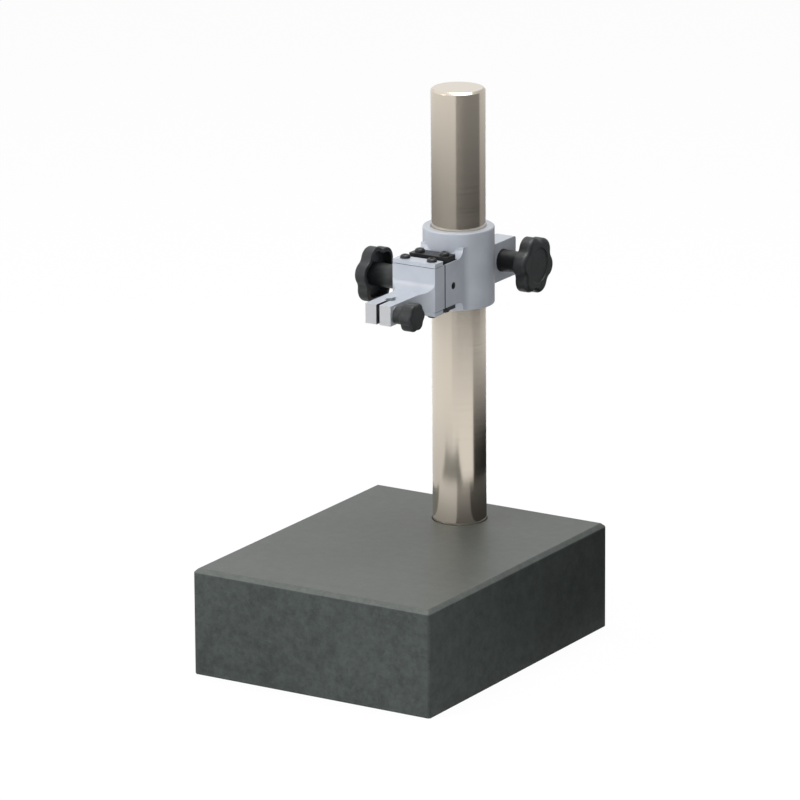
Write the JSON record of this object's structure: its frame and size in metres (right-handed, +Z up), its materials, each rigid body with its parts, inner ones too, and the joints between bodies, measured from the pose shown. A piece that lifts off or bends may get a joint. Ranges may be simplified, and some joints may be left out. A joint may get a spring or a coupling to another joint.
{
  "type": "comparator stand",
  "caption": "Comparator stand: granite base, round steel column, clamped sliding bracket and a spring-guided fine-adjusting arm with a split clamp for an indicator stem.",
  "frame": {"origin": "centre of the granite's underside", "axes": "+X to the right, +Y to the back, where the column stands, +Z up along the column"},
  "size_m": [0.2, 0.2612, 0.406],
  "materials": {
    "granite": "ground and lapped granite",
    "ground_steel": "ground and hard chromed round bar",
    "grey_enamel": "satin blue-grey enamel on a casting",
    "bare_steel": "turned or milled, uncoated",
    "spring_steel": "hardened strip",
    "black_steel": "black oxide",
    "black_plastic": "moulded, fine grained",
    "bronze": "plain bearing bronze"
  },
  "bodies": {
    "base": {"granite_base": "granite", "column_foot_screw": "black_steel", "column_foot_washer": "bare_steel"},
    "column": {"column": "ground_steel"},
    "bracket": {"bracket_body": "grey_enamel", "eccentric_bush": "bronze", "eccentric_keeper_screw": "black_steel", "upper_leaf_spring": "spring_steel", "lower_leaf_spring": "spring_steel", "upper_spring_bar": "black_steel", "lower_spring_bar": "black_steel", "bracket_spring_screws": "black_steel", "clamp_washer": "black_steel"},
    "arm": {"arm_body": "grey_enamel", "upper_spring_plate": "grey_enamel", "lower_spring_plate": "grey_enamel", "arm_spring_screws": "black_steel", "stem_washer": "bare_steel"},
    "fine_drive": {"fine_knob": "black_plastic", "eccentric_shaft": "bare_steel", "fine_knob_grub_screw": "black_steel", "thrust_washer": "bare_steel"},
    "column_clamp": {"clamp_knob": "black_plastic", "clamp_screw": "bare_steel", "clamp_spacer": "black_steel"},
    "stem_clamp": {"stem_knob": "black_plastic", "stem_screw": "bare_steel"}
  },
  "joints": [
    {"name": "bracket_swivel", "type": "hinge", "parent": "base", "child": "column", "pos_m": [0, 0.081, 0.08], "axis": [0, 0, 1], "continuous": true},
    {"name": "bracket_height", "type": "slide", "parent": "column", "child": "bracket", "axis": [0, 0, 1], "range_m": [-0.16, 0.1]},
    {"name": "arm_travel", "type": "slide", "parent": "bracket", "child": "arm", "axis": [0, 0, 1], "range_m": [-0.001, 0.001], "deforming": ["upper_leaf_spring", "lower_leaf_spring"]},
    {"name": "fine_turn", "type": "hinge", "parent": "bracket", "child": "fine_drive", "pos_m": [0, 0.044, 0.268], "axis": [1, 0, 0], "range_deg": [-90, 90]},
    {"name": "column_clamp_turn", "type": "hinge", "parent": "bracket", "child": "column_clamp", "pos_m": [0, 0.1145, 0.2712], "axis": [1, 0, 0], "range_deg": [0, 360]},
    {"name": "stem_clamp_turn", "type": "hinge", "parent": "arm", "child": "stem_clamp", "pos_m": [0, -0.0235, 0.261], "axis": [1, 0, 0], "range_deg": [0, 360]}
  ],
  "couplings": [
    {"joint": "fine_turn", "follows": "arm_travel", "rad_per_m": 1570}
  ]
}
